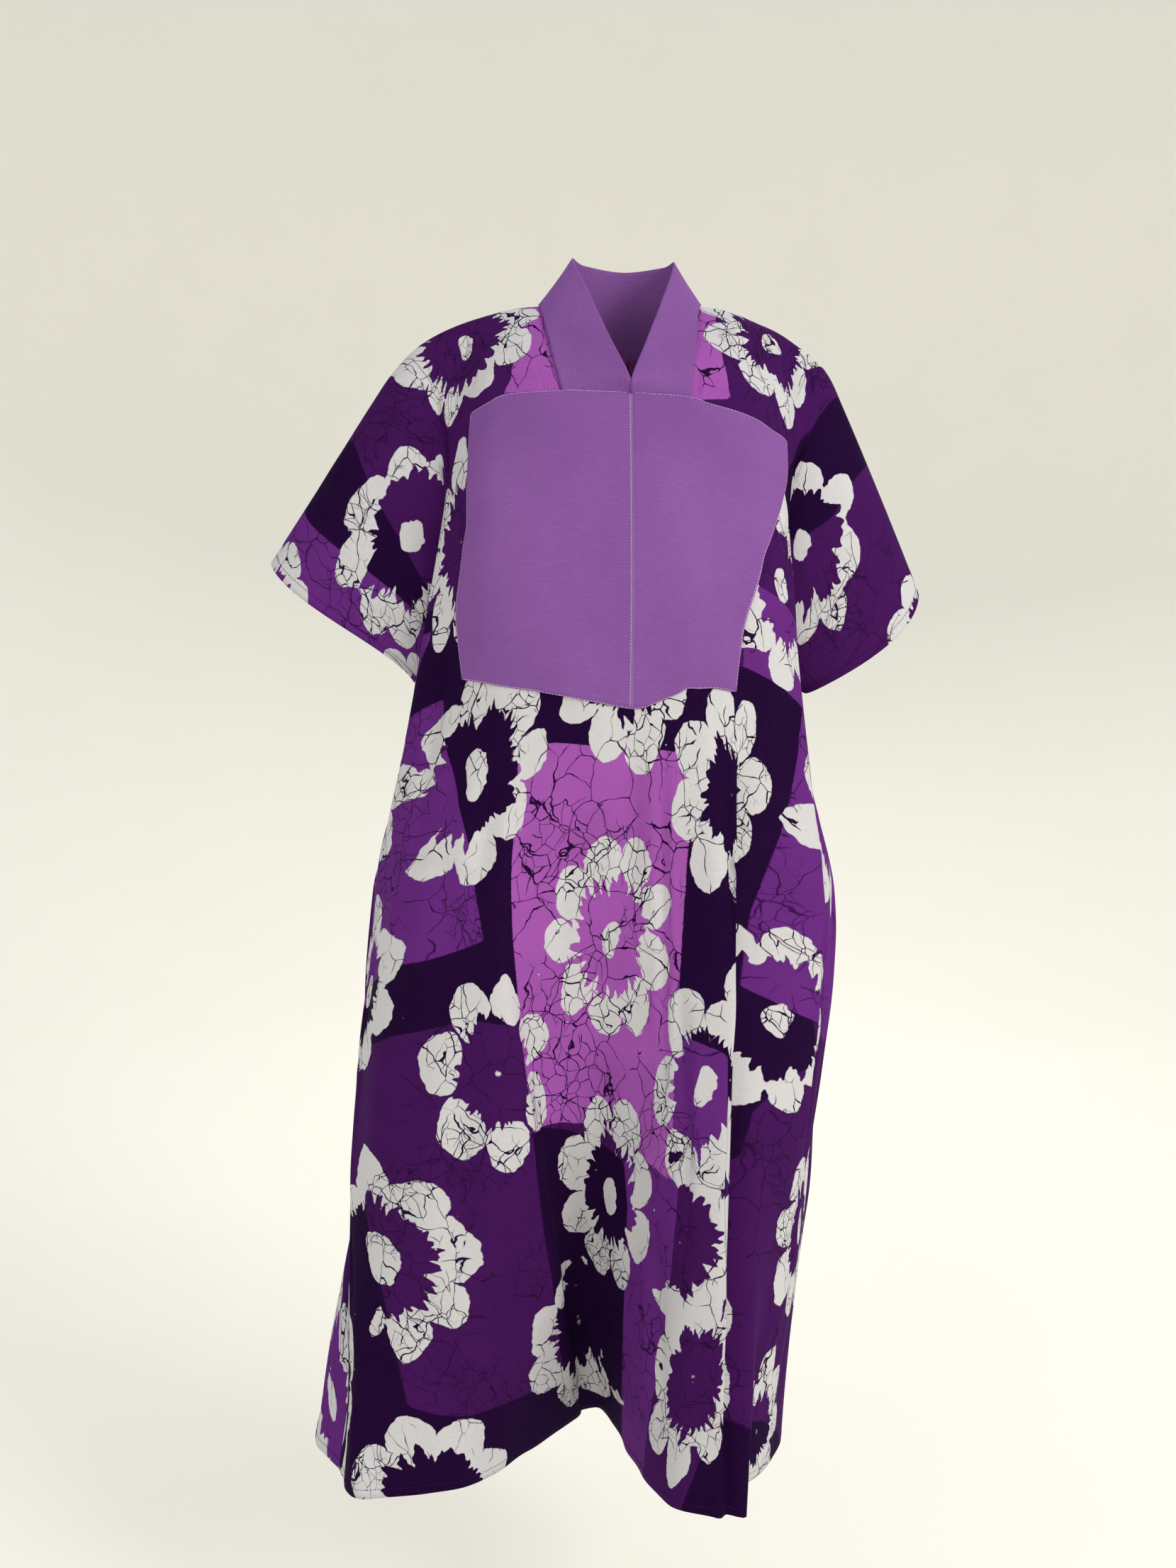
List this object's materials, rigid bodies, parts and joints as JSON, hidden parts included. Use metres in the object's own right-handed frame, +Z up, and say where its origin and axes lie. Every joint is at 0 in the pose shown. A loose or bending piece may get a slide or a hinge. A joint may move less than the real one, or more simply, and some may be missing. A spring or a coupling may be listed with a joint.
{
  "type": "boubou robe",
  "caption": "Loose calf-length boubou robe in batik cotton with wide short sleeves cut in one, a ribbed neck band and a ribbed chest bib, hanging as worn",
  "frame": {"origin": "middle of the neck opening, level with the foot of the neck band at the shoulders, where the wearer's shoulders hold the robe", "axes": "+Z up along the wearer, -Y the way the wearer faces, +X to the wearer's left, which is the viewer's right from the front"},
  "size_m": [0.6577, 0.3027, 1.239],
  "materials": {
    "batik_cotton": "matte printed cotton, dark purple with orchid and white",
    "ribbed_lilac": "matte lilac cotton with fine ribs"
  },
  "bodies": {
    "root": {"front_cloth": "batik_cotton", "back_cloth": "batik_cotton", "bib_left": "ribbed_lilac", "bib_right": "ribbed_lilac", "neck_band": "ribbed_lilac"}
  },
  "joints": []
}
